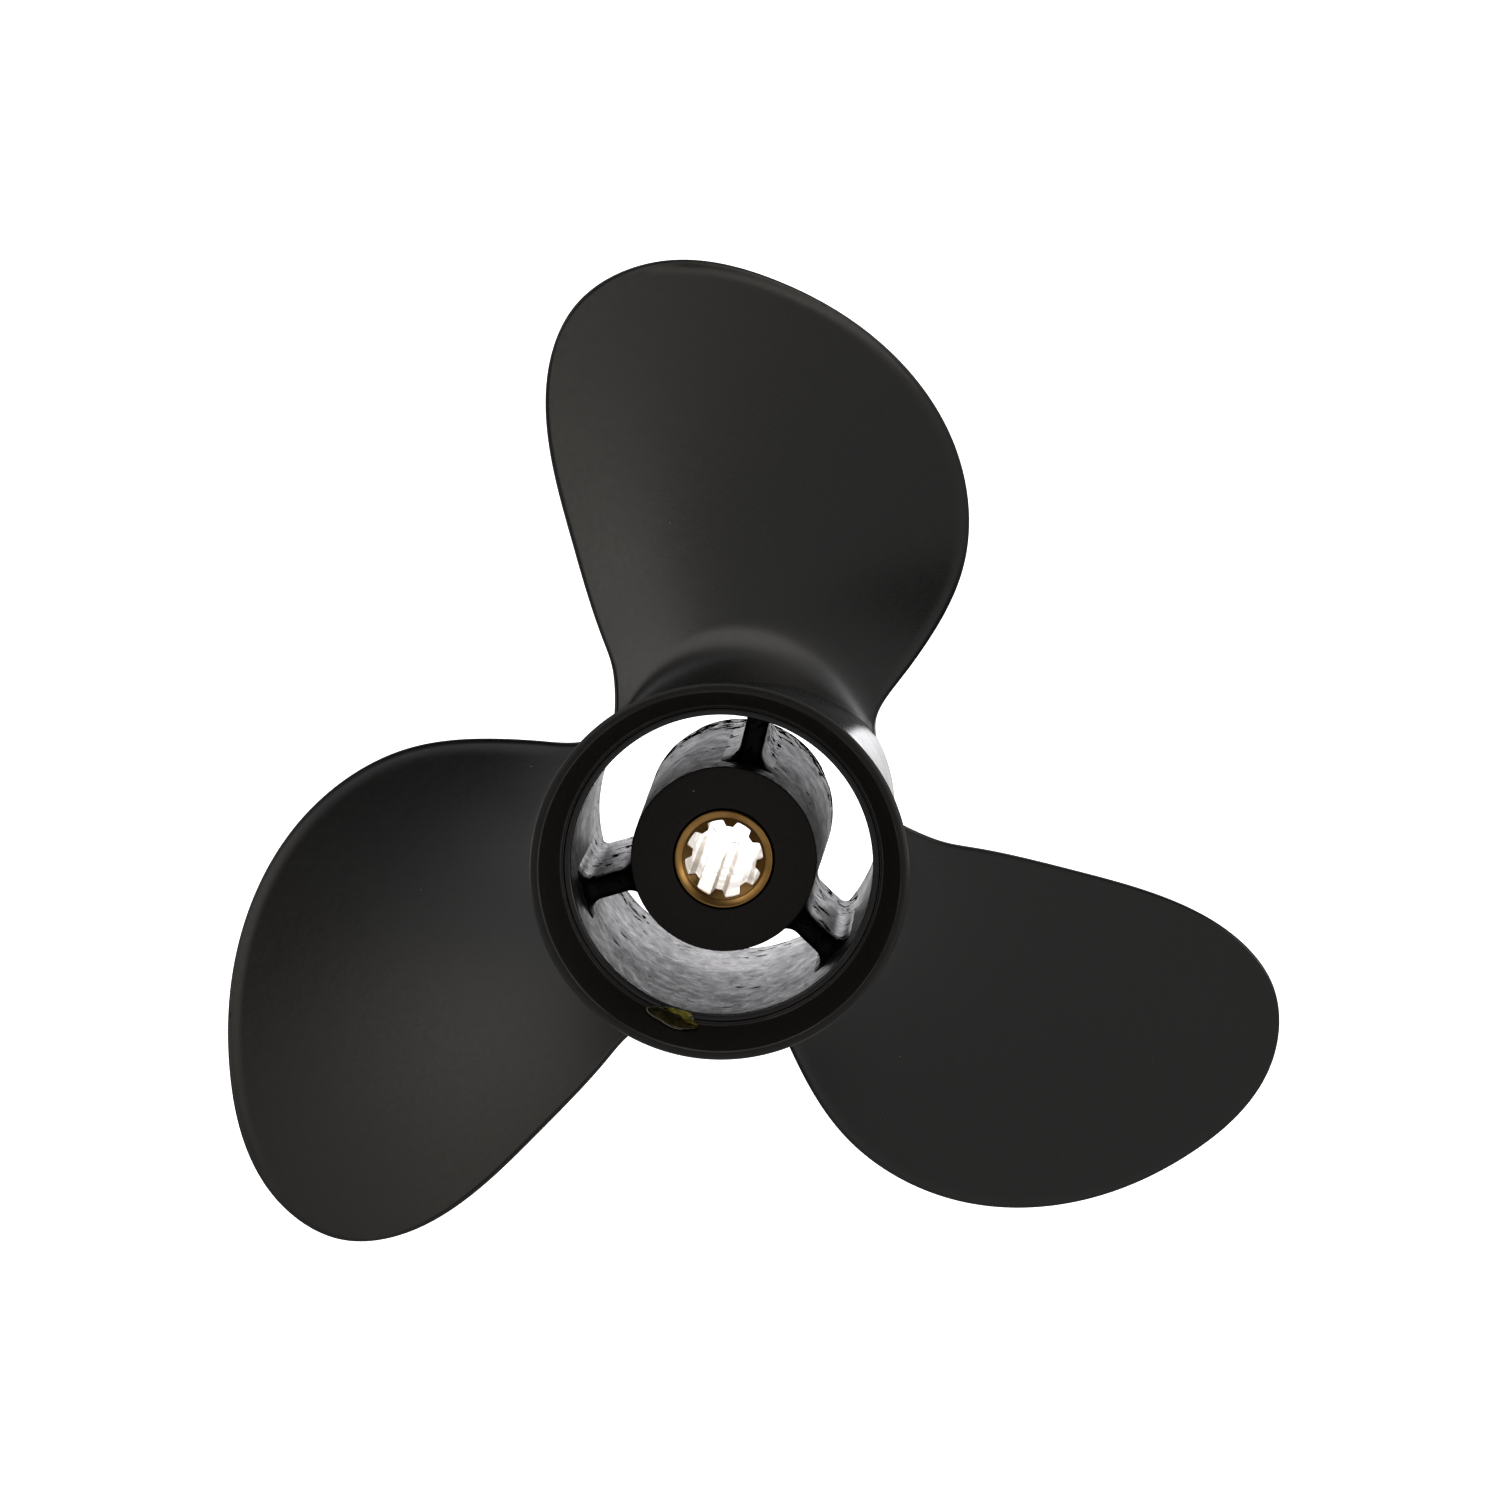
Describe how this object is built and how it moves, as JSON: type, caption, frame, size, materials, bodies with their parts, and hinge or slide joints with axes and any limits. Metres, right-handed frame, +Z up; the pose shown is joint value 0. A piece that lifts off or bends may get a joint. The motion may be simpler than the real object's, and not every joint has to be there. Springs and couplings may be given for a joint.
{
  "type": "boat propeller",
  "caption": "Right-hand outboard propeller with broad skewed blades, exhaust through the hub, a flared diffuser ring and a rubber-cushioned splined sleeve.",
  "frame": {"origin": "on the shaft axis, halfway along the spline, in the plane where the blades' helical base meets it", "axes": "+Y along the shaft, forward towards the gearcase; +Z up, through the first blade's reference line; +X to the right as seen from astern"},
  "size_m": [0.2127, 0.0956, 0.1978],
  "materials": {
    "painted_casting": "cast aluminium under satin black paint",
    "matte_ring": "aluminium under matte black paint",
    "bush_rubber": "moulded black rubber",
    "sleeve_bronze": "machined bronze"
  },
  "bodies": {
    "sleeve": {"splined_sleeve": "sleeve_bronze"},
    "bush": {"rubber_bush": "bush_rubber"},
    "propeller": {"exhaust_barrel": "painted_casting", "blade_1": "painted_casting", "blade_2": "painted_casting", "blade_3": "painted_casting", "rib_1": "painted_casting", "rib_2": "painted_casting", "rib_3": "painted_casting", "inner_hub": "painted_casting", "diffuser_ring": "matte_ring"}
  },
  "joints": [
    {"name": "rubber_twist", "type": "hinge", "parent": "sleeve", "child": "bush", "pos_m": [0, 0, 0], "axis": [0, 1, 0], "range_deg": [-16, 16], "stiffness_Nm_per_rad": 280},
    {"name": "hub_slip", "type": "hinge", "parent": "bush", "child": "propeller", "pos_m": [0, 0, 0], "axis": [0, 1, 0], "continuous": true}
  ]
}
